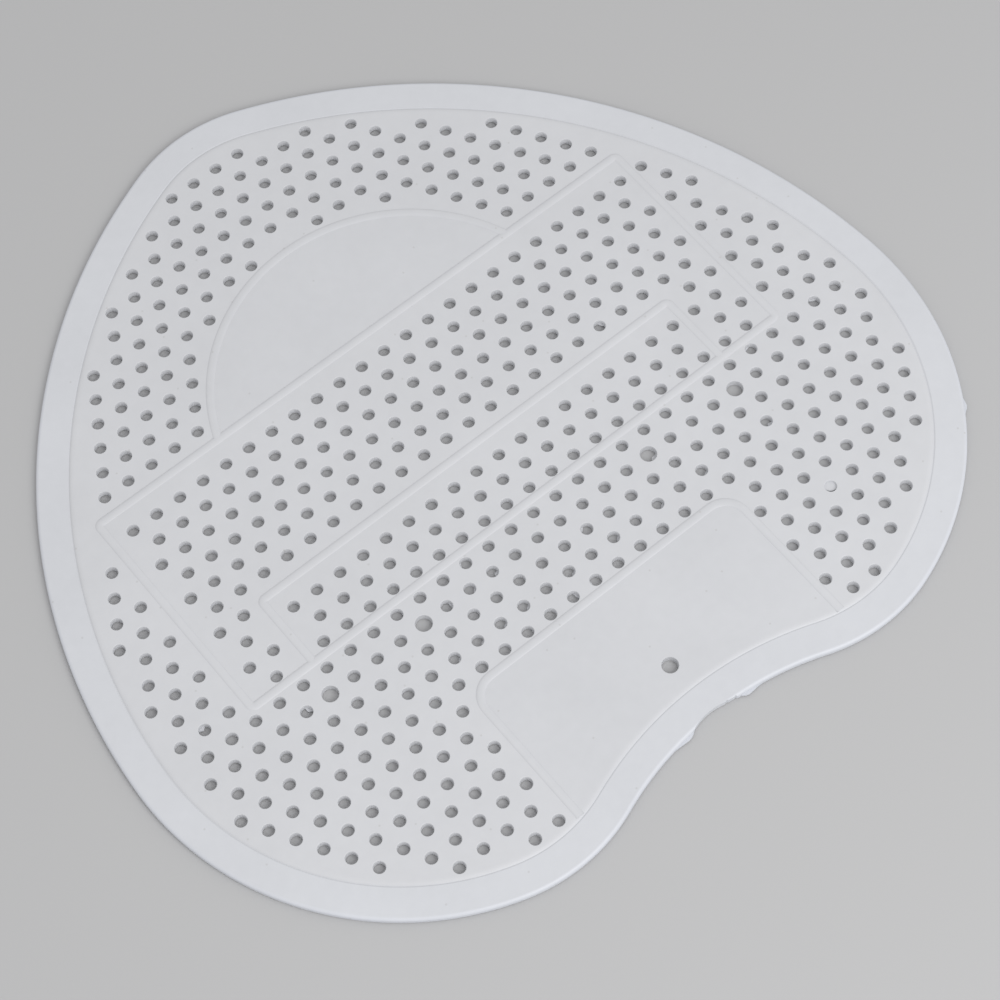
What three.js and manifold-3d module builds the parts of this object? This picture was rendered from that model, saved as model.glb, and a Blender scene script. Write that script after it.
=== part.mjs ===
// Deodorizer screen for a urinal: one thin plate of soft white plastic, moulded in a single piece.
// It lies over the waste, with its notch towards the front of the bowl.
//
// X runs along the rows of holes, Y up the mirror line from the notch to the crown, and Z up out of
// the ribbed face. Heights in plan are measured from the row that holds the four wide holes.
// At the end the plate is moved so that its origin is the middle of its box, on the underside.
// Lengths are in millimetres, angles in degrees.

import * as THREE from 'three';
import { mergeVertices } from 'three/addons/utils/BufferGeometryUtils.js';
import Module from 'manifold-3d';

// Outline: arcs that run tangent into one another from the notch to the crown, then mirrored
const notchRadius = 71.8;
const lobeRadius = 39.4;
const lobeCentreX = 39.2;
const lobeCentreY = -18.2;
const haunchRadius = 63;
const haunchStartAngle = -72.8;
const flankSlack = 34;
const crownRadius = 36.6;
const crownCentreY = 85.3;
const outlineSag = 0.15;
const fieldLineSag = 0.015;

// Section: a flat rim round a raised field, with its outer edge broken by a bevel
const fieldThickness = 1.6;
const stepHeight = 0.15;
const stepRun = 0.5;
const rimWidth = 6.7;
const edgeBevelWidth = 0.8;
const edgeBevelHeight = 0.6;

// Low beads that frame the pads and panels
const beadWidth = 1.8;
const beadTopWidth = 1;
const beadHeight = 0.22;
const padWidth = 135.6;
const padTopY = 58.2;
const padBottomY = 7.25;
const innerPadWidth = 105.6;
const innerPadTopY = 24.2;
const panelWidth = 66.6;
const panelTopY = -16.9;
const panelCornerRadius = 5;
const panelCornerFacets = 3;
const domeRadius = 40.3;
const domeCentreY = 44.1;
const domeChord = 9;

// Field of small holes on a triangular lattice, and the wide holes
const holePitch = 5.8;
const rowStep = 4.8;
const latticeShift = -2.2;
const holeDiameter = 2.8;
const holeSides = 4;
const holeToRim = 2.4;
const holeToBead = 2.18;
const blankPlaces = [{ row: 8, column: 14 }, { row: -7, column: 12 }];
const wideHoleDiameter = 3.8;
const wideHoleSides = 6;
const wideHoleColumns = [-9, -5, 5, 9];
const panelHoleY = -37.5;
const punchMargin = 1;

const wasm = await Module();
wasm.setup();

const vinyl = new THREE.MeshStandardMaterial({ color: 0xdfe1e4, roughness: 0.5, metalness: 0 });

const rimThickness = fieldThickness - stepHeight;
const radians = THREE.MathUtils.degToRad;

// Solids and meshes

function toSolid(geometry) {
  const bare = new THREE.BufferGeometry();
  bare.setAttribute('position', geometry.getAttribute('position'));
  if (geometry.index) bare.setIndex(geometry.index);
  const merged = mergeVertices(bare, 1e-4);
  return new wasm.Manifold(new wasm.Mesh({
    numProp: 3,
    vertProperties: new Float32Array(merged.getAttribute('position').array),
    triVerts: new Uint32Array(merged.index.array),
  }));
}

function toGeometry(solid) {
  const mesh = solid.getMesh();
  const geometry = new THREE.BufferGeometry();
  geometry.setAttribute('position', new THREE.BufferAttribute(mesh.vertProperties, 3));
  geometry.setIndex(new THREE.BufferAttribute(mesh.triVerts, 1));
  geometry.computeVertexNormals();
  return geometry;
}

// Outline

function arc(centre, radius, from, to, bulge = 1) {
  return { centre, radius, from, to, bulge };
}

function angleOf(from, to) {
  return Math.atan2(to.y - from.y, to.x - from.x);
}

// The centre that lies at the distances a and b from two points, on the mirror line's far side
function crossing(pointA, a, pointB, b) {
  const along = pointB.clone().sub(pointA);
  const span = along.length();
  const reach = (a * a - b * b + span * span) / (2 * span);
  const side = Math.sqrt(a * a - reach * reach);
  along.normalize();
  return pointA.clone().addScaledVector(along, reach)
    .add(new THREE.Vector2(-along.y, along.x).multiplyScalar(side));
}

function halfOutlineArcs() {
  const lobe = new THREE.Vector2(lobeCentreX, lobeCentreY);
  const crown = new THREE.Vector2(0, crownCentreY);
  const notchDrop = Math.sqrt((notchRadius + lobeRadius) ** 2 - lobeCentreX ** 2);
  const notch = new THREE.Vector2(0, lobeCentreY - notchDrop);

  const haunchStart = radians(haunchStartAngle);
  const haunch = new THREE.Vector2(Math.cos(haunchStart), Math.sin(haunchStart))
    .multiplyScalar(lobeRadius - haunchRadius).add(lobe);

  const tightestFlank = (haunch.distanceTo(crown) + haunchRadius + crownRadius) / 2;
  const flankRadius = tightestFlank + flankSlack;
  const flank = crossing(haunch, flankRadius - haunchRadius, crown, flankRadius - crownRadius);

  const flankStart = angleOf(flank, haunch);
  const crownStart = angleOf(flank, crown);
  return [
    arc(notch, notchRadius, Math.PI / 2, angleOf(notch, lobe), -1),
    arc(lobe, lobeRadius, angleOf(lobe, notch), haunchStart),
    arc(haunch, haunchRadius, haunchStart, flankStart),
    arc(flank, flankRadius, flankStart, crownStart),
    arc(crown, crownRadius, crownStart, Math.PI / 2),
  ];
}

// Points on the whole outline moved inwards by inset, counterclockwise from the notch's middle.
// Every inset gives the same number of points, so two such outlines can be joined by a wall.
// Its chords stay within sag of the true arcs.
function outline(inset, sag = outlineSag) {
  const right = [];
  for (const { centre, radius, from, to, bulge } of halfOutlineArcs()) {
    const facet = 2 * Math.acos(1 - sag / radius);
    const steps = Math.max(2, Math.round(Math.abs(to - from) / facet));
    for (let i = 0; i < steps; i += 1) {
      const angle = from + (to - from) * i / steps;
      const r = radius - bulge * inset;
      right.push(new THREE.Vector2(
        centre.x + r * Math.cos(angle),
        centre.y + r * Math.sin(angle),
      ));
    }
  }
  const crownTop = new THREE.Vector2(0, crownCentreY + crownRadius - inset);
  const left = right.slice(1).reverse().map((p) => new THREE.Vector2(-p.x, p.y));
  return [...right, crownTop, ...left];
}

// Body: levels from the underside up over the bevelled edge and the rim to the raised field
function plate() {
  const levels = [
    { inset: 0, z: 0 },
    { inset: 0, z: rimThickness - edgeBevelHeight },
    { inset: edgeBevelWidth, z: rimThickness },
    { inset: rimWidth, z: rimThickness },
    { inset: rimWidth + stepRun, z: fieldThickness },
  ];
  const rings = levels.map(({ inset, z }) => outline(inset).map((p) => [p.x, p.y, z]));
  const count = rings[0].length;
  const index = [];
  for (let level = 1; level < rings.length; level += 1) {
    for (let i = 0; i < count; i += 1) {
      const next = (i + 1) % count;
      const low = (level - 1) * count;
      const high = level * count;
      index.push(low + i, low + next, high + next, low + i, high + next, high + i);
    }
  }
  const caps = [
    { ring: 0, inset: levels[0].inset, up: false },
    { ring: rings.length - 1, inset: levels.at(-1).inset, up: true },
  ];
  for (const { ring, inset, up } of caps) {
    for (const [a, b, c] of THREE.ShapeUtils.triangulateShape(outline(inset), [])) {
      const base = ring * count;
      index.push(base + a, base + (up ? b : c), base + (up ? c : b));
    }
  }
  const geometry = new THREE.BufferGeometry();
  geometry.setAttribute('position', new THREE.Float32BufferAttribute(rings.flat(2), 3));
  geometry.setIndex(index);
  return toSolid(geometry);
}

// Beads: lines in plan, each widened to a strip with sloping sides

function padFrame() {
  const x = padWidth / 2;
  return [[-x, padBottomY], [x, padBottomY], [x, padTopY], [-x, padTopY], [-x, padBottomY]];
}

function innerPadFrame() {
  const x = innerPadWidth / 2;
  return [[-x, padBottomY], [-x, innerPadTopY], [x, innerPadTopY], [x, padBottomY]];
}

// The panel's side beads run down to the rim's inner line
function panelFrame() {
  const x = panelWidth / 2;
  const rimY = rimLineHeight(x);
  const corner = (side) => Array.from({ length: panelCornerFacets + 1 }, (_, i) => {
    const angle = Math.PI / 2 + side * (Math.PI / 2) * (1 - i / panelCornerFacets);
    return [
      -side * (x - panelCornerRadius) + panelCornerRadius * Math.cos(angle),
      panelTopY - panelCornerRadius + panelCornerRadius * Math.sin(angle),
    ];
  });
  return [[-x, rimY], ...corner(1), ...corner(-1).reverse(), [x, rimY]];
}

function domeFrame() {
  const rise = padTopY - domeCentreY;
  const start = Math.asin(rise / domeRadius);
  const sweep = Math.PI - 2 * start;
  const steps = Math.round(sweep * domeRadius / domeChord);
  const points = [];
  for (let i = 0; i <= steps; i += 1) {
    const angle = start + sweep * i / steps;
    points.push([domeRadius * Math.cos(angle), domeCentreY + domeRadius * Math.sin(angle)]);
  }
  return points;
}

// Height of the rim's inner line below the field at a distance x from the mirror line
function rimLineHeight(x) {
  const line = outline(rimWidth);
  const heights = [];
  line.forEach((a, i) => {
    const b = line[(i + 1) % line.length];
    if ((a.x - x) * (b.x - x) <= 0 && a.x !== b.x) {
      heights.push(a.y + (b.y - a.y) * (x - a.x) / (b.x - a.x));
    }
  });
  return Math.min(...heights);
}

// One closed strip along a line, mitred at its corners, as wide as asked
function strip(line, width) {
  const closed = line[0][0] === line.at(-1)[0] && line[0][1] === line.at(-1)[1];
  const points = line.map(([x, y]) => new THREE.Vector2(x, y));
  if (closed) points.pop();
  const count = points.length;
  const offset = (side) => points.map((point, i) => {
    const before = points[closed ? (i + count - 1) % count : Math.max(i - 1, 0)];
    const after = points[closed ? (i + 1) % count : Math.min(i + 1, count - 1)];
    const incoming = point.clone().sub(before).normalize();
    const outgoing = after.clone().sub(point).normalize();
    const bend = incoming.add(outgoing).normalize();
    const reference = after.equals(point) ? point.clone().sub(before) : after.clone().sub(point);
    const mitre = bend.dot(reference.normalize());
    return new THREE.Vector2(-bend.y, bend.x).multiplyScalar(side * width / 2 / mitre).add(point);
  });
  if (!closed) return new THREE.Shape([...offset(-1), ...offset(1).reverse()]);
  const shape = new THREE.Shape(offset(-1));
  shape.holes.push(new THREE.Path(offset(1)));
  return shape;
}

// A bead stands on the field, with its foot sunk halfway into the plate
function bead(line) {
  const slope = (beadWidth - beadTopWidth) / 2;
  const foot = fieldThickness / 2;
  const geometry = new THREE.ExtrudeGeometry(strip(line, beadTopWidth), {
    depth: fieldThickness - foot,
    bevelEnabled: true,
    bevelThickness: beadHeight,
    bevelSize: slope,
    bevelSegments: 1,
  });
  geometry.translate(0, 0, foot);
  return toSolid(geometry);
}

// Holes

function lineDistance(point, line) {
  let nearest = Infinity;
  const place = new THREE.Vector3(point.x, point.y, 0);
  for (let i = 1; i < line.length; i += 1) {
    const segment = new THREE.Line3(
      new THREE.Vector3(...line[i - 1], 0),
      new THREE.Vector3(...line[i], 0),
    );
    const closest = segment.closestPointToPoint(place, true, new THREE.Vector3());
    nearest = Math.min(nearest, closest.distanceTo(place));
  }
  return nearest;
}

function contains(ring, point) {
  let inside = false;
  ring.forEach((a, i) => {
    const b = ring[(i + 1) % ring.length];
    const crosses = (a.y > point.y) !== (b.y > point.y);
    if (crosses && point.x < a.x + (b.x - a.x) * (point.y - a.y) / (b.y - a.y)) inside = !inside;
  });
  return inside;
}

// A lattice place takes a hole where it is clear of the rim, the beads and the two solid areas
function latticeHoles() {
  const pads = [padFrame(), innerPadFrame()];
  const field = outline(rimWidth + holeToRim, fieldLineSag);
  const rows = Math.ceil((crownCentreY + crownRadius) / rowStep);
  const columns = Math.ceil((lobeCentreX + haunchRadius) / holePitch);
  const places = [];
  for (let row = -rows; row <= rows; row += 1) {
    for (let column = -columns; column <= columns; column += 1) {
      const stagger = Math.abs(row % 2) / 2;
      const place = new THREE.Vector2(
        latticeShift + (column + stagger) * holePitch,
        row * rowStep,
      );
      const wide = row === 0 && wideHoleColumns.includes(column);
      const blank = blankPlaces.some((p) => p.row === row && p.column === column);
      const overPanel = place.y < panelTopY + holeToBead
        && Math.abs(place.x) < panelWidth / 2 + holeToBead;
      const overDome = place.y > padTopY
        && Math.hypot(place.x, place.y - domeCentreY) < domeRadius + holeToBead;
      const overPad = pads.some((line) => lineDistance(place, line) < holeToBead);
      const taken = wide || blank || overPanel || overDome || overPad;
      if (!taken && contains(field, place)) places.push(place);
    }
  }
  return places;
}

function wideHoles() {
  const places = wideHoleColumns.map((column) => (
    new THREE.Vector2(latticeShift + column * holePitch, 0)
  ));
  places.push(new THREE.Vector2(0, panelHoleY));
  return places;
}

// A straight-sided hole that takes away as much as the round one of the same diameter
function punch(place, diameter, sides) {
  const turn = 2 * Math.PI / sides;
  const radius = diameter / 2 * Math.sqrt(turn / Math.sin(turn));
  const rim = Array.from({ length: sides }, (_, i) => new THREE.Vector2(
    place.x + radius * Math.cos(turn * (i + 0.5)),
    place.y + radius * Math.sin(turn * (i + 0.5)),
  ));
  const over = beadHeight + punchMargin;
  const geometry = new THREE.ExtrudeGeometry(new THREE.Shape(rim), {
    depth: fieldThickness + 2 * over,
    bevelEnabled: false,
  });
  geometry.translate(0, 0, -over);
  return toSolid(geometry);
}

// The screen

function screen() {
  const frames = [padFrame(), innerPadFrame(), panelFrame(), domeFrame()];
  const body = wasm.Manifold.union([plate(), ...frames.map(bead)]);
  const punches = wasm.Manifold.union([
    ...latticeHoles().map((place) => punch(place, holeDiameter, holeSides)),
    ...wideHoles().map((place) => punch(place, wideHoleDiameter, wideHoleSides)),
  ]);
  const geometry = toGeometry(body.subtract(punches));
  geometry.computeBoundingBox();
  const { min, max } = geometry.boundingBox;
  geometry.translate(-(min.x + max.x) / 2, -(min.y + max.y) / 2, -min.z);
  const mesh = new THREE.Mesh(geometry, vinyl);
  mesh.name = 'screen';
  return mesh;
}

const model = new THREE.Group();
model.add(screen());

export default model;
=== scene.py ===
import math

import bpy
from mathutils import Matrix, Vector


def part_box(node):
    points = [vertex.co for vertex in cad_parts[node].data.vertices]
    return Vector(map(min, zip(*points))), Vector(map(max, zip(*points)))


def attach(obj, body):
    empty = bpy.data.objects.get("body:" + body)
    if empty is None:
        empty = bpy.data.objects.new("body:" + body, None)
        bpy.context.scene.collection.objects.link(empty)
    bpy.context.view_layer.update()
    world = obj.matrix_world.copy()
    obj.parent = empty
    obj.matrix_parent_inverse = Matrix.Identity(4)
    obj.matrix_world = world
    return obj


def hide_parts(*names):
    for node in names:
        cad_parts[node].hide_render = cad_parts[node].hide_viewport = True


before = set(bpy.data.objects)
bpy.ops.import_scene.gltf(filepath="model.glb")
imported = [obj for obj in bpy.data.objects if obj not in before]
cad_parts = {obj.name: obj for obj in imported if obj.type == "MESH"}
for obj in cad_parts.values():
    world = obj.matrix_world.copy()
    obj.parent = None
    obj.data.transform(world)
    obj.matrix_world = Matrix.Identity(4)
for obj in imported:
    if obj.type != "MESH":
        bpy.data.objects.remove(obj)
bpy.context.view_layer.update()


# The plate of the deodorizer screen: soft white plastic about 1.6 mm thick, moulded in one shot.
# Five arcs that run tangent into one another draw half of its outline, from notch to crown.
# A flat rim with a rounded outer edge goes all round, one small step below the field of holes.

MM = 0.001
NOTCH_RADIUS = 71.8
LOBE_RADIUS = 39.4
LOBE_CENTRE = Vector((39.2, -18.2))
HAUNCH_RADIUS = 63.0
HAUNCH_START = math.radians(-72.8)
FLANK_SLACK = 34.0
CROWN_RADIUS = 36.6
CROWN_CENTRE = Vector((0.0, 85.3))
OUTLINE_CHORD = 1.3
ANGLE_SLACK = 1e-6

FIELD_THICKNESS = 1.6
RIM_THICKNESS = 1.45
RIM_WIDTH = 6.7
EDGE_ROUND_WIDTH = 0.75
EDGE_ROUND_HEIGHT = 0.65
EDGE_ROUND_STEPS = 6
UNDERSIDE_ROUND = 0.12
FLAT_MARGIN = 0.4
STEP_SECTION = [(-0.32, 0.0), (-0.16, -0.07), (-0.02, -0.15), (0.14, -0.05), (0.32, 0.05),
                (0.7, 0.1), (1.2, 0.15)]


def heading(start, end):
    return math.atan2(end.y - start.y, end.x - start.x)


def outline_arcs():
    """Centre, radius, first angle, last angle and bulge of each arc on the right half."""
    drop = math.sqrt((NOTCH_RADIUS + LOBE_RADIUS) ** 2 - LOBE_CENTRE.x ** 2)
    notch = Vector((0.0, LOBE_CENTRE.y - drop))
    haunch = LOBE_CENTRE + (LOBE_RADIUS - HAUNCH_RADIUS) * Vector(
        (math.cos(HAUNCH_START), math.sin(HAUNCH_START)))
    between = CROWN_CENTRE - haunch
    flank_radius = (between.length + HAUNCH_RADIUS + CROWN_RADIUS) / 2 + FLANK_SLACK
    to_haunch = flank_radius - HAUNCH_RADIUS
    to_crown = flank_radius - CROWN_RADIUS
    reach = (to_haunch ** 2 - to_crown ** 2 + between.length ** 2) / (2 * between.length)
    aside = math.sqrt(to_haunch ** 2 - reach ** 2)
    along = between.normalized()
    flank = haunch + reach * along + aside * Vector((-along.y, along.x))
    return [
        (notch, NOTCH_RADIUS, math.pi / 2, heading(notch, LOBE_CENTRE), -1),
        (LOBE_CENTRE, LOBE_RADIUS, heading(LOBE_CENTRE, notch), HAUNCH_START, 1),
        (haunch, HAUNCH_RADIUS, HAUNCH_START, heading(flank, haunch), 1),
        (flank, flank_radius, heading(flank, haunch), heading(flank, CROWN_CENTRE), 1),
        (CROWN_CENTRE, CROWN_RADIUS, heading(flank, CROWN_CENTRE), math.pi / 2, 1),
    ]


ARCS = outline_arcs()


def outline(inset):
    """The whole outline moved inwards, counterclockwise from the middle of the notch."""
    right = []
    for centre, radius, start, end, bulge in ARCS:
        steps = max(2, round(abs(end - start) * radius / OUTLINE_CHORD))
        for i in range(steps):
            angle = start + (end - start) * i / steps
            reach = radius - bulge * inset
            right.append((centre.x + reach * math.cos(angle), centre.y + reach * math.sin(angle)))
    top = (0.0, CROWN_CENTRE.y + CROWN_RADIUS - inset)
    return [*right, top, *[(-x, y) for x, y in reversed(right[1:])]]


def depth_inside(x, y):
    """How far a place near the edge lies inside the outline."""
    depths = []
    for centre, radius, start, end, bulge in ARCS:
        offset = Vector((abs(x), y)) - centre
        angle = math.atan2(offset.y, offset.x)
        if min(start, end) - ANGLE_SLACK <= angle <= max(start, end) + ANGLE_SLACK:
            depths.append(bulge * (radius - offset.length))
    return min(depths, default=CROWN_RADIUS)


LOWEST = min(y for x, y in outline(0))
HIGHEST = max(y for x, y in outline(0))
MIDDLE = (LOWEST + HIGHEST) / 2
WIDEST = max(x for x, y in outline(0))
CAD_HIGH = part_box("screen")[1]
FIT_ACROSS = min(1.0, CAD_HIGH[0] / (WIDEST * MM))
FIT_ALONG = min(1.0, CAD_HIGH[1] / ((HIGHEST - MIDDLE) * MM))


def placed(x, y, z):
    """A place on the plate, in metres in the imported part's frame and within its box."""
    return (x * FIT_ACROSS * MM, (y - MIDDLE) * FIT_ALONG * MM, z * MM)


def new_object(name, points, edges, faces):
    mesh = bpy.data.meshes.new(name)
    mesh.from_pydata([placed(*point) for point in points], edges, faces)
    mesh.update()
    made = bpy.data.objects.new(name, mesh)
    bpy.context.scene.collection.objects.link(made)
    return made


def plate_levels():
    """Inset and height of each ring, from the underside up over the edge to the field."""
    levels = [(UNDERSIDE_ROUND, 0.0), (0.0, UNDERSIDE_ROUND)]
    for i in range(EDGE_ROUND_STEPS + 1):
        turn = math.pi / 2 * i / EDGE_ROUND_STEPS
        inset = EDGE_ROUND_WIDTH * (1 - math.cos(turn))
        levels.append((inset, RIM_THICKNESS - EDGE_ROUND_HEIGHT * (1 - math.sin(turn))))
    levels.append((EDGE_ROUND_WIDTH + FLAT_MARGIN, RIM_THICKNESS))
    levels.append((RIM_WIDTH - FLAT_MARGIN, RIM_THICKNESS))
    levels.extend((RIM_WIDTH + run, RIM_THICKNESS + rise) for run, rise in STEP_SECTION)
    return levels


def moulded_plate():
    rings = [[(x, y, z) for x, y in outline(inset)] for inset, z in plate_levels()]
    count = len(rings[0])
    faces = []
    for level in range(len(rings) - 1):
        for i in range(count):
            low = level * count
            high = low + count
            following = (i + 1) % count
            faces.append((low + i, low + following, high + following, high + i))
    last = (len(rings) - 1) * count
    faces.append(tuple(range(count - 1, -1, -1)))
    faces.append(tuple(range(last, last + count)))
    return new_object("plate", [point for ring in rings for point in ring], [], faces)


plate = moulded_plate()


# The vinyl: a satin plastisol, a cool white that is a touch lighter and bluer on the rim. Towards
# the rim's edge a painted reflection of the sky makes it bluer still. It takes a fine grain from
# the mould, a slow waviness as it cools, and a few dust specks. The solid areas look a touch
# darker, and painted shade darkens the groove at the step and the feet of the beads.

FIELD_WHITE = (0.636, 0.643, 0.668, 1.0)
RIM_WHITE = (0.645, 0.657, 0.690, 1.0)
# Painted reflection of the sky: the bluer white towards the rim's outer edge
EDGE_REFLECTION_WHITE = (0.656, 0.674, 0.722, 1.0)
SOLID_WHITE = (0.628, 0.636, 0.662, 1.0)
# Painted shade: the grey that darkens the groove at the step and the feet of the beads
CREASE_SHADE_GREY = (0.500, 0.505, 0.525, 1.0)
SPECK_GREY = (0.42, 0.41, 0.39, 1.0)
GROOVE_SHADE_SHARE = 0.2
FOOT_SHADE_SHARE = 0.2
CLOUD_SCALE = 34.0
CLOUD_SHARE = 0.10
MOTTLE_SCALE = 420.0
MOTTLE_SHARE = 0.05
SPECK_SCALE = 190.0
SPECK_RARITY = 0.88
SPECK_CORE = 0.02
SPECK_REACH = 0.06
SPECK_TINT = 0.3
ROUGHNESS = 0.44
ROUGHNESS_SCALE = 90.0
ROUGHNESS_SHARE = 0.12
EDGE_GLOSS = 0.05
WAVE_SCALE = 55.0
WAVE_HEIGHT = 0.00025
WAVE_STRENGTH = 0.5
GRAIN_SCALE = 2300.0
GRAIN_HEIGHT = 0.00004
GRAIN_STRENGTH = 0.25
REFRACTION = 1.46


class Wire:
    """One output of a node. Sums on wires add the Math nodes that work them out."""

    def __init__(self, node, output=0):
        self.node = node
        self.socket = node.outputs[output]

    def __getitem__(self, output):
        return Wire(self.node, output)

    @staticmethod
    def add(tree, kind, settings=None, values=None):
        """Adds any node: its settings first, then the values or wires of its sockets."""
        node = tree.nodes.new(kind)
        for name, setting in (settings or {}).items():
            setattr(node, name, setting)
        for name, value in (values or {}).items():
            if isinstance(name, int):
                socket = node.inputs[name]
            else:
                socket = next(s for s in node.inputs if s.name == name and s.enabled)
            for one in value if isinstance(value, list) else [value]:
                if isinstance(one, Wire):
                    tree.links.new(one.socket, socket)
                else:
                    socket.default_value = one
        return Wire(node) if node.outputs else node

    def maths(self, operation, *terms):
        tree = self.node.id_data
        return Wire.add(tree, "ShaderNodeMath", {"operation": operation}, dict(enumerate(terms)))

    def __add__(self, other):
        return self.maths("ADD", self, other)

    def __radd__(self, other):
        return self.maths("ADD", other, self)

    def __sub__(self, other):
        return self.maths("SUBTRACT", self, other)

    def __rsub__(self, other):
        return self.maths("SUBTRACT", other, self)

    def __mul__(self, other):
        return self.maths("MULTIPLY", self, other)

    def __truediv__(self, other):
        return self.maths("DIVIDE", self, other)

    def __gt__(self, other):
        return self.maths("GREATER_THAN", self, other)


def satin_vinyl():
    material = bpy.data.materials.new("satin_vinyl")
    material.use_nodes = True
    tree = material.node_tree
    tree.nodes.clear()
    place = Wire.add(tree, "ShaderNodeTexCoord")["Object"]

    def noise(scale, detail):
        return Wire.add(tree, "ShaderNodeTexNoise", {}, {
            "Vector": place, "Scale": scale, "Detail": detail})["Fac"]

    def ramp(value, start, end):
        return Wire.add(tree, "ShaderNodeMapRange", {"interpolation_type": "SMOOTHSTEP"}, {
            "Value": value, "From Min": start, "From Max": end})

    def mixed(share, first, second):
        return Wire.add(tree, "ShaderNodeMix", {"data_type": "RGBA"}, {
            "Factor": share, "A": first, "B": second})["Result"]

    depth = Wire.add(tree, "ShaderNodeAttribute", {"attribute_name": "depth_inside"})["Fac"]
    solid = Wire.add(tree, "ShaderNodeAttribute", {"attribute_name": "solid_area"})["Fac"]
    on_rim = 1 - ramp(depth, RIM_WIDTH - 0.1, RIM_WIDTH + 0.3)
    at_edge = 1 - ramp(depth, 0.1, 1.0)

    colour = mixed(solid, FIELD_WHITE, SOLID_WHITE)
    colour = mixed(on_rim, colour, RIM_WHITE)
    # Painted sky reflection: the colour turns bluer towards the outer edge
    colour = mixed(at_edge, colour, EDGE_REFLECTION_WHITE)
    # Painted shade in the groove at the step and along the feet of the beads
    foot = Wire.add(tree, "ShaderNodeAttribute", {"attribute_name": "bead_foot_shade"})["Fac"]
    groove_shade = ramp(depth, RIM_WIDTH - 0.3, RIM_WIDTH) * (
        1 - ramp(depth, RIM_WIDTH, RIM_WIDTH + 0.5))
    colour = mixed(groove_shade * GROOVE_SHADE_SHARE + foot * FOOT_SHADE_SHARE, colour, CREASE_SHADE_GREY)
    cloudy = (noise(CLOUD_SCALE, 3.0) - 0.5) * CLOUD_SHARE + (
        noise(MOTTLE_SCALE, 2.0) - 0.5) * MOTTLE_SHARE
    shade = Wire.add(tree, "ShaderNodeMapRange", {"clamp": False}, {
        "Value": cloudy, "From Min": -1.0, "From Max": 1.0, "To Min": 0.0, "To Max": 2.0})
    grey = Wire.add(tree, "ShaderNodeCombineColor", {}, {0: shade, 1: shade, 2: shade})["Color"]
    colour = Wire.add(tree, "ShaderNodeMix", {"data_type": "RGBA", "blend_type": "MULTIPLY"}, {
        "Factor": 1.0, "A": colour, "B": grey})["Result"]

    cells = Wire.add(tree, "ShaderNodeTexVoronoi", {"voronoi_dimensions": "2D"}, {
        "Vector": place, "Scale": SPECK_SCALE})
    chance = Wire.add(tree, "ShaderNodeSeparateColor", {}, {"Color": cells["Color"]})["Red"]
    rare = chance > SPECK_RARITY
    speck = (1 - ramp(cells["Distance"], SPECK_CORE, SPECK_REACH)) * rare
    colour = mixed(speck * SPECK_TINT, colour, SPECK_GREY)

    uneven = (noise(ROUGHNESS_SCALE, 2.0) - 0.5) * ROUGHNESS_SHARE
    roughness = ROUGHNESS + uneven + at_edge * -EDGE_GLOSS
    waves = Wire.add(tree, "ShaderNodeBump", {}, {
        "Strength": WAVE_STRENGTH, "Distance": WAVE_HEIGHT,
        "Height": noise(WAVE_SCALE, 2.0)})["Normal"]
    grain = Wire.add(tree, "ShaderNodeBump", {}, {
        "Strength": GRAIN_STRENGTH, "Distance": GRAIN_HEIGHT,
        "Height": noise(GRAIN_SCALE, 2.0), "Normal": waves})["Normal"]
    surface = Wire.add(tree, "ShaderNodeBsdfPrincipled", {}, {
        "Base Color": colour, "Roughness": roughness, "Normal": grain,
        "IOR": REFRACTION})["BSDF"]
    Wire.add(tree, "ShaderNodeOutputMaterial", {}, {"Surface": surface})
    return material


vinyl = satin_vinyl()


# The beads: low soft ribs of the same plastic that frame the pads, the panel and the dome.
# They are cut into the mould with a round-nosed cutter, so their tops are rounded. The pads'
# inner corners stay sharp, and the panel has wide round corners.

BEAD_HALF_WIDTH = 0.93
BEAD_HALF_HEIGHT = 0.28
BEAD_SUNK = 0.06
BEAD_FOOT_SHADE = 0.17
BEAD_SIDES = 20
BEAD_CORNER_FACETS = 8
BEAD_END_GAP = 0.3
PAD_WIDTH = 135.6
PAD_TOP = 58.2
PAD_BOTTOM = 7.25
INNER_PAD_WIDTH = 105.6
INNER_PAD_TOP = 24.2
PAD_CORNER = 0.98
PANEL_WIDTH = 66.6
PANEL_TOP = -16.9
PANEL_CORNER = 5.0
DOME_RADIUS = 40.3
DOME_HEIGHT = 44.1
DOME_STEPS = 90


def panel_side_foot():
    """Height at which the panel's side beads reach the step down to the rim."""
    field_edge = outline(RIM_WIDTH + BEAD_END_GAP)
    inner = [(x, y) for x, y in field_edge if x > 0 and y < PANEL_TOP]
    return min(inner, key=lambda point: abs(point[0] - PANEL_WIDTH / 2))[1]


def bead_lines():
    """The middle line of each bead: its points, the corner radius at each, and if it closes."""
    pad = PAD_WIDTH / 2
    inner = INNER_PAD_WIDTH / 2
    panel = PANEL_WIDTH / 2
    foot = panel_side_foot()
    start = math.asin((PAD_TOP - DOME_HEIGHT) / DOME_RADIUS)
    sweep = math.pi - 2 * start
    angles = [start + sweep * i / DOME_STEPS for i in range(DOME_STEPS + 1)]
    dome = [(DOME_RADIUS * math.cos(angle), DOME_HEIGHT + DOME_RADIUS * math.sin(angle))
            for angle in angles]
    return [
        ([(-pad, PAD_BOTTOM), (pad, PAD_BOTTOM), (pad, PAD_TOP), (-pad, PAD_TOP)],
         [PAD_CORNER] * 4, True),
        ([(-inner, PAD_BOTTOM), (-inner, INNER_PAD_TOP), (inner, INNER_PAD_TOP),
          (inner, PAD_BOTTOM)], [0.0, PAD_CORNER, PAD_CORNER, 0.0], False),
        ([(-panel, foot), (-panel, PANEL_TOP), (panel, PANEL_TOP), (panel, foot)],
         [0.0, PANEL_CORNER, PANEL_CORNER, 0.0], False),
        (dome, [0.0] * len(dome), False),
    ]


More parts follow.
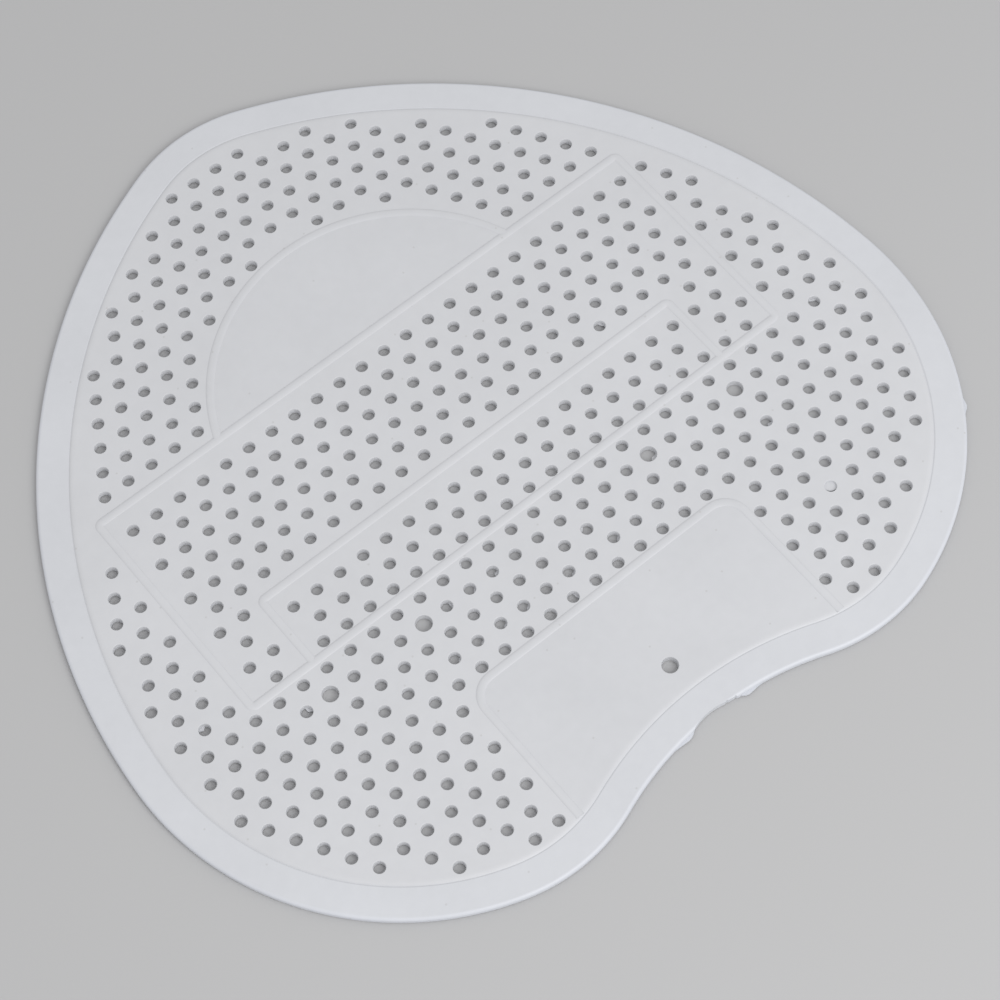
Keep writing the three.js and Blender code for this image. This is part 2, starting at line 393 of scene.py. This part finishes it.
def bead_run_object():
    points = []
    edges = []
    corners = []
    for line, radii, closed in bead_lines():
        first = len(points)
        points.extend((x, y, FIELD_THICKNESS - BEAD_SUNK) for x, y in line)
        corners.extend(radius * MM for radius in radii)
        edges.extend((first + i, first + i + 1) for i in range(len(line) - 1))
        if closed:
            edges.append((first + len(line) - 1, first))
    run = new_object("beads", points, edges, [])
    run.data.attributes.new("corner", "FLOAT", "POINT").data.foreach_set("value", corners)
    return run


def new_tree(name, inputs):
    """A geometry tree with the named inputs. Gives the tree and its Group Input node."""
    tree = bpy.data.node_groups.new(name, "GeometryNodeTree")
    outside = tree.interface
    outside.new_socket(name="Geometry", in_out="INPUT", socket_type="NodeSocketGeometry")
    outside.new_socket(name="Geometry", in_out="OUTPUT", socket_type="NodeSocketGeometry")
    for label, kind in inputs.items():
        outside.new_socket(name=label, in_out="INPUT", socket_type="NodeSocket" + kind)
    return tree, Wire.add(tree, "NodeGroupInput")


def finish_tree(tree, geometry, material):
    real = Wire.add(tree, "GeometryNodeRealizeInstances", {}, {"Geometry": geometry})
    painted = Wire.add(tree, "GeometryNodeSetMaterial", {}, {
        "Geometry": real, "Material": material})
    Wire.add(tree, "NodeGroupOutput", {}, {"Geometry": painted})


def run_tree(carrier, tree, values):
    """Turns carrier's mesh into what the tree makes of it, and takes the modifier off again."""
    modifier = carrier.modifiers.new(tree.name, "NODES")
    modifier.node_group = tree
    for item in tree.interface.items_tree:
        if item.in_out == "INPUT" and item.name in values:
            modifier[item.identifier] = values[item.name]
    seen = carrier.evaluated_get(bpy.context.evaluated_depsgraph_get())
    made = bpy.data.meshes.new_from_object(seen)
    carrier.modifiers.remove(modifier)
    carrier.data = made


def bead_tree():
    tree, group = new_tree("bead_run", {
        "Half width": "Float", "Half height": "Float", "Corner facets": "Int",
        "Material": "Material"})
    corner = Wire.add(tree, "GeometryNodeInputNamedAttribute", {"data_type": "FLOAT"}, {
        "Name": "corner"})["Attribute"]
    line = Wire.add(tree, "GeometryNodeMeshToCurve", {}, {"Mesh": group["Geometry"]})
    line = Wire.add(tree, "GeometryNodeFilletCurve", {"mode": "POLY"}, {
        "Curve": line, "Count": group["Corner facets"], "Radius": corner})
    line = Wire.add(tree, "GeometryNodeSetCurveNormal", {"mode": "Z_UP"}, {"Curve": line})
    ring = Wire.add(tree, "GeometryNodeCurvePrimitiveCircle", {"mode": "RADIUS"}, {
        "Resolution": BEAD_SIDES, "Radius": 1.0})
    girth = Wire.add(tree, "ShaderNodeCombineXYZ", {}, {
        "X": group["Half width"], "Y": group["Half height"], "Z": 1.0})
    ring = Wire.add(tree, "GeometryNodeTransform", {}, {"Geometry": ring, "Scale": girth})
    body = Wire.add(tree, "GeometryNodeCurveToMesh", {}, {
        "Curve": line, "Profile Curve": ring, "Fill Caps": True})
    finish_tree(tree, body, group["Material"])
    return tree


beads = bead_run_object()
run_tree(beads, bead_tree(), {
    "Half width": BEAD_HALF_WIDTH * MM, "Half height": BEAD_HALF_HEIGHT * MM,
    "Corner facets": BEAD_CORNER_FACETS, "Material": vinyl})


# Trimmings: where the plastic ran in, at the notch, it is cut off by hand in a shallow scallop.
# The cut leaves nicks and two thin fins of flash at its ends, and one fin stands on the edge.
# Flash also hangs in some holes as small tags, many in one row, and a skin all but closes one.

SCALLOP = [(-5.6, -0.1), (-5.2, 0.22), (-4.95, 0.12), (-4.6, 0.34), (-4.0, 0.48), (-3.0, 0.68),
           (-1.8, 0.84), (-0.4, 0.9), (1.0, 0.82), (2.3, 0.64), (3.3, 0.5), (3.7, 0.6),
           (3.95, 0.42), (4.6, 0.36), (5.2, 0.3), (5.6, 0.38), (5.85, 0.12), (6.4, -0.1)]
CUT_MARGIN = 1.0
FIN_LOW = 0.1
FIN_HIGH = 0.5
FIN_ROOT = 0.8
FINS = [
    (0, 98.6, 94.3, [0.0, 0.12, 0.26, 0.42, 0.55, 0.48, 0.1]),
    (0, 84.6, 80.6, [0.05, 0.52, 0.62, 0.45, 0.25, 0.1, 0.0]),
    (2, -37.6, -33.6, [0.0, 0.22, 0.5, 0.6, 0.4, 0.15, 0.0]),
]
TAG_LOW = 0.05
TAG_HIGH = 0.35
TAG_ROOT = 0.3
TAG_ROOT_TURNS = (-44, -22, 0, 22, 44)
TAG_TIP = [(30, 0.55), (8, 1.0), (-14, 0.95), (-32, 0.5)]
TAGS = [(0, 5, 300, 0.85), (-2, 9, 301, 0.9), (0, -2, 320, 0.85), (-1, 1, 128, 0.4),
        (-3, -1, 10, 0.4), (2, -13, 97, 0.75), (0, -10, 30, 0.7), (1, -3, 150, 0.35),
        (-2, 6, 304, 0.5), (-2, 4, 315, 0.5), (-2, 2, 325, 0.5), (-2, 0, 312, 0.5),
        (-2, -2, 320, 0.55), (-2, -3, 311, 0.5), (-2, -4, 313, 0.45), (-2, -5, 320, 0.45),
        (-3, 4, 192, 0.5), (-3, 6, 171, 0.4), (-3, 0, 170, 0.45), (6, 7, 32, 0.35),
        (2, 4, 167, 0.35), (0, -4, 0, 0.35), (0, -3, 323, 0.4), (1, 10, 108, 0.35),
        (1, 13, 63, 0.4)]
SKIN_PLACE = (-6, 9)
SKIN_OFFSET = (0.51, 0.62)
SKIN_RADIUS = 1.6
SKIN_SIDES = 24
SKIN_LOW = 0.7
SKIN_HIGH = 1.0


def prism_parts(corners, low, high, first):
    """Points and faces of an upright prism on a counterclockwise polygon."""
    count = len(corners)
    points = [(x, y, low) for x, y in corners] + [(x, y, high) for x, y in corners]
    faces = [tuple(first + i for i in reversed(range(count))),
             tuple(first + count + i for i in range(count))]
    for i in range(count):
        following = (i + 1) % count
        faces.append((first + i, first + following, first + count + following, first + count + i))
    return points, faces


def prisms(name, shapes):
    points = []
    faces = []
    for corners, low, high in shapes:
        more_points, more_faces = prism_parts(corners, low, high, len(points))
        points.extend(more_points)
        faces.extend(more_faces)
    return new_object(name, points, [], faces)


def notch_height(x):
    centre, radius = ARCS[0][:2]
    return centre.y + math.sqrt(radius ** 2 - x ** 2)


def scallop_cutter():
    cut = [(x, notch_height(x) + depth) for x, depth in SCALLOP]
    below = LOWEST - CUT_MARGIN
    corners = [(cut[0][0], below), (cut[-1][0], below), *cut[::-1]]
    return prisms("scallop_cutter", [(corners, -CUT_MARGIN, FIELD_THICKNESS + CUT_MARGIN)])


def fin(arc, start, end, heights):
    """A thin fin that stands out from an arc of the outline by the given heights."""
    centre, radius, _, _, bulge = ARCS[arc]
    outer = []
    inner = []
    for i, height in enumerate(heights):
        angle = math.radians(start + (end - start) * i / (len(heights) - 1))
        for line, reach in ((outer, height), (inner, -FIN_ROOT)):
            away = radius + bulge * reach
            line.append((centre.x + away * math.cos(angle), centre.y + away * math.sin(angle)))
    return outer + inner[::-1]


def turned_left(corners):
    """The polygon with its corners counterclockwise."""
    area = sum(a[0] * b[1] - b[0] * a[1] for a, b in zip(corners, corners[1:] + corners[:1]))
    return corners if area > 0 else corners[::-1]


# The holes: pins in the mould leave them, on a triangular lattice that fills the field.
# They keep clear of the rim, the beads and the solid areas. Five are wider, four in one row and
# one in the panel. Each narrows slightly downwards and has a small rounded lip.

HOLE_PITCH = 5.8
ROW_STEP = 4.8
LATTICE_SHIFT = -2.2
HOLE_DIAMETER = 2.8
WIDE_HOLE_DIAMETER = 3.8
WIDE_COLUMNS = (-9, -5, 5, 9)
WIDE_PANEL_PLACE = (0.0, -37.5)
BLANK_PLACES = ((8, 14), (-7, 12))
HOLE_TO_RIM = 2.4
HOLE_TO_BEAD = 2.18
LATTICE_REACH = 20
HOLE_SIDES = 18
HOLE_LIP = 0.12
HOLE_TAPER = 0.93
HOLE_FOOT_SHARE = 0.87
HOLE_SPREAD = 0.02
HOLE_SEED = 7
PIN_BANDS = 4
PIN_BELOW = 0.3
PIN_ABOVE = 2.0
LIP_SHOULDER = 0.36
LIP_FLARE = 1.15
LIP_OVERSHOOT = 0.1
LEVEL_FACE = 0.9999
LEVEL_CORNER = 0.9
ABOVE_FIELD = 0.003
SHARP_ANGLE = math.radians(29)


def lattice_place(row, column):
    return (LATTICE_SHIFT + (column + row % 2 / 2) * HOLE_PITCH, row * ROW_STEP)


def frame_distance(x, y, half_width, bottom, top):
    """Distance from the sides, the top and the bottom of a frame."""
    inside_x = min(max(x, -half_width), half_width)
    inside_y = min(max(y, bottom), top)
    outside = math.hypot(x - inside_x, y - inside_y)
    if outside > 0:
        return outside
    return min(half_width - abs(x), y - bottom, top - y)


def takes_hole(row, column):
    x, y = lattice_place(row, column)
    if (row, column) in BLANK_PLACES or row == 0 and column in WIDE_COLUMNS:
        return False
    if y < PANEL_TOP + HOLE_TO_BEAD and abs(x) < PANEL_WIDTH / 2 + HOLE_TO_BEAD:
        return False
    if y > PAD_TOP and math.hypot(x, y - DOME_HEIGHT) < DOME_RADIUS + HOLE_TO_BEAD:
        return False
    frames = ((PAD_WIDTH / 2, PAD_BOTTOM, PAD_TOP),
              (INNER_PAD_WIDTH / 2, PAD_BOTTOM, INNER_PAD_TOP))
    if any(frame_distance(x, y, *edges) < HOLE_TO_BEAD for edges in frames):
        return False
    return LOWEST < y < HIGHEST and depth_inside(x, y) > RIM_WIDTH + HOLE_TO_RIM


def hole_places():
    rows = range(-math.ceil(-LOWEST / ROW_STEP), math.ceil(HIGHEST / ROW_STEP))
    columns = range(-LATTICE_REACH, LATTICE_REACH + 1)
    small = [lattice_place(r, c) for r in rows for c in columns if takes_hole(r, c)]
    wide = [lattice_place(0, column) for column in WIDE_COLUMNS] + [WIDE_PANEL_PLACE]
    return [(*place, HOLE_DIAMETER) for place in small] + [
        (*place, WIDE_HOLE_DIAMETER) for place in wide]


def hole_object():
    places = hole_places()
    made = new_object("holes", [(x, y, 0.0) for x, y, _ in places], [], [])
    made.data.attributes.new("diameter", "FLOAT", "POINT").data.foreach_set(
        "value", [diameter * MM for _, _, diameter in places])
    return made


def flash_object():
    shapes = [(turned_left(fin(*one)), FIN_LOW, FIN_HIGH) for one in FINS]
    for row, column, bearing, reach in TAGS:
        x, y = lattice_place(row, column)
        wide = row == 0 and column in WIDE_COLUMNS
        radius = (WIDE_HOLE_DIAMETER if wide else HOLE_DIAMETER) / 2 * HOLE_FOOT_SHARE
        depths = [(turn, -TAG_ROOT) for turn in TAG_ROOT_TURNS]
        depths += [(turn, reach * share) for turn, share in TAG_TIP]
        corners = []
        for turn, depth in depths:
            angle = math.radians(bearing + turn)
            corners.append((x + (radius - depth) * math.cos(angle),
                            y + (radius - depth) * math.sin(angle)))
        shapes.append((turned_left(corners), TAG_LOW, TAG_HIGH))
    x, y = lattice_place(*SKIN_PLACE)
    angles = [2 * math.pi * i / SKIN_SIDES for i in range(SKIN_SIDES)]
    skin = [(x + SKIN_OFFSET[0] + SKIN_RADIUS * math.cos(angle),
             y + SKIN_OFFSET[1] + SKIN_RADIUS * math.sin(angle)) for angle in angles]
    shapes.append((skin, SKIN_LOW, SKIN_HIGH))
    return prisms("flash", shapes)


def stepped(level, values):
    """The value of each level in turn."""
    total = values[0]
    for i in range(1, len(values)):
        total = total + (level > i - 0.5) * (values[i] - values[i - 1])
    return total


def hole_tree():
    tree, group = new_tree("perforations", {
        "Plate": "Object", "Beads": "Object", "Cutter": "Object", "Flash": "Object",
        "Sides": "Int", "Thickness": "Float", "Lip": "Float", "Taper": "Float",
        "Size spread": "Float", "Seed": "Int", "Material": "Material"})

    def mesh_of(label):
        return Wire.add(tree, "GeometryNodeObjectInfo", {}, {"Object": group[label]})["Geometry"]

    def joined(*parts):
        return Wire.add(tree, "GeometryNodeMeshBoolean", {
            "operation": "UNION", "solver": "MANIFOLD"}, {1: list(parts)})

    def cut(body, tools):
        return Wire.add(tree, "GeometryNodeMeshBoolean", {
            "operation": "DIFFERENCE", "solver": "MANIFOLD"}, {0: body, 1: tools})

    # Pin: a cylinder of four bands, reshaped to a tapered wall and a rounded lip
    pin = Wire.add(tree, "GeometryNodeMeshCylinder", {"fill_type": "NGON"}, {
        "Vertices": group["Sides"], "Side Segments": PIN_BANDS, "Fill Segments": 1,
        "Radius": 1.0, "Depth": float(PIN_BANDS)})
    spot = Wire.add(tree, "GeometryNodeInputPosition")
    axes = Wire.add(tree, "ShaderNodeSeparateXYZ", {}, {"Vector": spot})
    level = axes["Z"] + PIN_BANDS / 2
    lip = group["Lip"]
    top = group["Thickness"]
    half = 0.5 * HOLE_DIAMETER * MM
    growth = lip / half
    wall = 1.0 - growth
    reach = stepped(level, [
        wall * group["Taper"], wall, wall + growth * LIP_SHOULDER, wall + growth * LIP_FLARE,
        wall + growth * LIP_FLARE])
    height = stepped(level, [
        top * -PIN_BELOW, top - lip, top - lip * LIP_SHOULDER, top + lip * LIP_OVERSHOOT,
        top * PIN_ABOVE])
    shaped = Wire.add(tree, "ShaderNodeCombineXYZ", {}, {
        "X": axes["X"] * reach, "Y": axes["Y"] * reach, "Z": height})
    pin = Wire.add(tree, "GeometryNodeSetPosition", {}, {"Geometry": pin, "Position": shaped})

    # Each pin takes its hole's size, with a small spread
    diameter = Wire.add(tree, "GeometryNodeInputNamedAttribute", {"data_type": "FLOAT"}, {
        "Name": "diameter"})["Attribute"]
    spread = group["Size spread"]
    luck = Wire.add(tree, "FunctionNodeRandomValue", {"data_type": "FLOAT"}, {
        "Min": 1.0 - spread, "Max": 1.0 + spread, "Seed": group["Seed"]}).node
    chance = Wire(luck, next(i for i, s in enumerate(luck.outputs) if s.enabled))
    girth = diameter * 0.5 * chance
    size = Wire.add(tree, "ShaderNodeCombineXYZ", {}, {"X": girth, "Y": girth, "Z": 1.0})
    pins = Wire.add(tree, "GeometryNodeInstanceOnPoints", {}, {
        "Points": group["Geometry"], "Instance": pin, "Scale": size})
    pins = Wire.add(tree, "GeometryNodeRealizeInstances", {}, {"Geometry": pins})

    body = joined(mesh_of("Plate"), mesh_of("Beads"))
    body = cut(cut(body, pins), mesh_of("Cutter"))
    finish_tree(tree, joined(body, mesh_of("Flash")), group["Material"])
    return tree


cutter = scallop_cutter()
flash = flash_object()
screen = hole_object()
run_tree(screen, hole_tree(), {
    "Plate": plate, "Beads": beads, "Cutter": cutter, "Flash": flash, "Sides": HOLE_SIDES,
    "Thickness": FIELD_THICKNESS * MM, "Lip": HOLE_LIP * MM, "Taper": HOLE_TAPER,
    "Size spread": HOLE_SPREAD, "Seed": HOLE_SEED, "Material": vinyl})
screen.name = "moulded_screen"
screen.data.name = "moulded_screen"
for helper in (plate, beads, cutter, flash):
    bpy.data.objects.remove(helper)


def over_solid_area(x, y):
    over_panel = abs(x) < PANEL_WIDTH / 2 and y < PANEL_TOP
    over_dome = y > PAD_TOP and math.hypot(x, y - DOME_HEIGHT) < DOME_RADIUS
    return over_panel or over_dome


def keep_flats_flat(mesh):
    """Large level faces shade dead flat, and the roundings beside them start level."""
    level_points = set()
    for face in mesh.polygons:
        if face.normal.z > LEVEL_FACE:
            level_points.update(face.vertices)
    normals = [Vector(corner.vector) for corner in mesh.corner_normals]
    for loop, normal in zip(mesh.loops, normals):
        if loop.vertex_index in level_points and normal.z > LEVEL_CORNER:
            normal[:] = (0.0, 0.0, 1.0)
    mesh.normals_split_custom_set(normals)


def mark_surface(mesh):
    """Marks the depth inside the outline, the solid areas and the painted shade at the foot of
    each bead.
    """
    depths = [depth_inside(v.co.x / MM, v.co.y / MM + MIDDLE) for v in mesh.vertices]
    mesh.attributes.new("depth_inside", "FLOAT", "POINT").data.foreach_set("value", depths)
    solid = [float(over_solid_area(f.center.x / MM, f.center.y / MM + MIDDLE))
             for f in mesh.polygons]
    mesh.attributes.new("solid_area", "FLOAT", "FACE").data.foreach_set("value", solid)
    # Painted shade along the foot of each bead, fading out as the bead rises
    foot_shades = [0.0] * len(mesh.loops)
    for face in mesh.polygons:
        if face.center.z > (FIELD_THICKNESS + ABOVE_FIELD) * MM:
            for loop in face.loop_indices:
                rise = mesh.vertices[mesh.loops[loop].vertex_index].co.z / MM - FIELD_THICKNESS
                foot_shades[loop] = max(0.0, 1 - rise / BEAD_FOOT_SHADE)
    mesh.attributes.new("bead_foot_shade", "FLOAT", "CORNER").data.foreach_set("value", foot_shades)
    mesh.shade_smooth()
    mesh.set_sharp_from_angle(angle=SHARP_ANGLE)
    keep_flats_flat(mesh)


mark_surface(screen.data)
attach(screen, "root")
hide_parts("screen")


# Floor, lights and camera: a plain pale floor, an even sky and a soft lamp beyond the notch.
# The camera looks down steeply over the left lobe, as in the photo.

FLOOR_GREY = (0.50, 0.50, 0.505, 1.0)
FLOOR_ROUGHNESS = 0.8
FLOOR_REACH = 3.0
FLOOR_LEVEL = -0.0002
SKY_STRENGTH = 0.72
LAMP_POWER = 2.2
LAMP_PLACE = Vector((0.03, -0.52, 0.50))
LAMP_SIZE = 0.5
VIEW_TARGET = Vector((-2.7, 11.13 - MIDDLE, FIELD_THICKNESS)) * MM
VIEW_DISTANCE = 558.8 * MM
VIEW_AZIMUTH = math.radians(-127.44)
VIEW_ELEVATION = math.radians(63.96)
VIEW_ROLL = math.radians(-2.22)
LENS = 100.8
SENSOR = 36.0


def pale_floor():
    mesh = bpy.data.meshes.new("floor")
    corners = [(x * FLOOR_REACH, y * FLOOR_REACH, FLOOR_LEVEL)
               for x, y in ((-1, -1), (1, -1), (1, 1), (-1, 1))]
    mesh.from_pydata(corners, [], [(0, 1, 2, 3)])
    floor = bpy.data.objects.new("floor", mesh)
    bpy.context.scene.collection.objects.link(floor)
    material = bpy.data.materials.new("floor_paint")
    material.use_nodes = True
    paint = material.node_tree.nodes["Principled BSDF"]
    paint.inputs["Base Color"].default_value = FLOOR_GREY
    paint.inputs["Roughness"].default_value = FLOOR_ROUGHNESS
    mesh.materials.append(material)


def lamp_and_sky():
    world = bpy.data.worlds.new("sky")
    world.use_nodes = True
    sky = world.node_tree.nodes["Background"]
    sky.inputs["Color"].default_value = (1.0, 1.0, 1.0, 1.0)
    sky.inputs["Strength"].default_value = SKY_STRENGTH
    bpy.context.scene.world = world
    light = bpy.data.lights.new("soft_lamp", "AREA")
    light.shape = "DISK"
    light.size = LAMP_SIZE
    light.energy = LAMP_POWER
    lamp = bpy.data.objects.new("soft_lamp", light)
    lamp.location = LAMP_PLACE
    lamp.rotation_euler = (-LAMP_PLACE).to_track_quat("-Z", "Y").to_euler()
    bpy.context.scene.collection.objects.link(lamp)


def camera():
    away = Vector((
        math.cos(VIEW_ELEVATION) * math.cos(VIEW_AZIMUTH),
        math.cos(VIEW_ELEVATION) * math.sin(VIEW_AZIMUTH),
        math.sin(VIEW_ELEVATION)))
    level = (-away).cross(Vector((0, 0, 1))).normalized()
    upright = level.cross(-away)
    right = level * math.cos(VIEW_ROLL) + upright * math.sin(VIEW_ROLL)
    up = away.cross(right)
    place = VIEW_TARGET + away * VIEW_DISTANCE
    data = bpy.data.cameras.new("camera")
    data.lens = LENS
    data.sensor_width = SENSOR
    seen_from = bpy.data.objects.new("camera", data)
    seen_from.matrix_world = Matrix((
        (right.x, up.x, away.x, place.x),
        (right.y, up.y, away.y, place.y),
        (right.z, up.z, away.z, place.z),
        (0, 0, 0, 1)))
    bpy.context.scene.collection.objects.link(seen_from)
    bpy.context.scene.camera = seen_from


pale_floor()
lamp_and_sky()
camera()
bpy.context.scene.view_settings.view_transform = "Standard"
